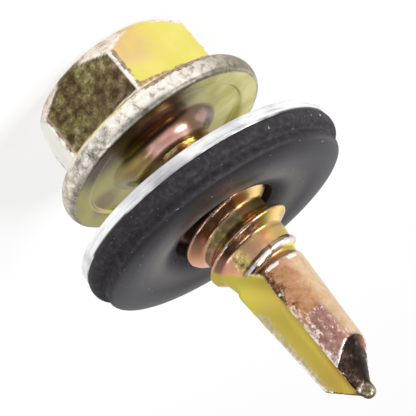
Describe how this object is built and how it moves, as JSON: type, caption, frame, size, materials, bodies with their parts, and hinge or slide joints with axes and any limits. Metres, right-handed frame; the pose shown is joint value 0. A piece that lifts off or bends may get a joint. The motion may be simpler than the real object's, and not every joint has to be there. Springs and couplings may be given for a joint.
{
  "type": "self drilling screw",
  "caption": "Hexagon flange head roofing screw with a coarse rolled thread, a fluted drill point and a loose bonded rubber washer that seals the hole it drills.",
  "frame": {"origin": "centre of the flat end of the hexagon, the face the screw stands on", "axes": "+Z along the screw from the head to the drill point, +X through a corner of the hexagon"},
  "size_m": [0.0162, 0.0162, 0.0241],
  "materials": {
    "yellow_zinc_steel": "zinc plated with a yellow chromate film, patchy gold to pinkish silver, semi-gloss",
    "washer_metal": "plain rolled sheet, satin",
    "seal_rubber": "moulded dark grey rubber, matt with a fine grain"
  },
  "bodies": {
    "screw": {"screw": "yellow_zinc_steel"},
    "washer": {"metal_washer": "washer_metal", "rubber_seal": "seal_rubber"}
  },
  "joints": [
    {"name": "washer_slide", "type": "slide", "parent": "screw", "child": "washer", "axis": [0, 0, 1], "range_m": [-0.0025, 0.0035]}
  ]
}
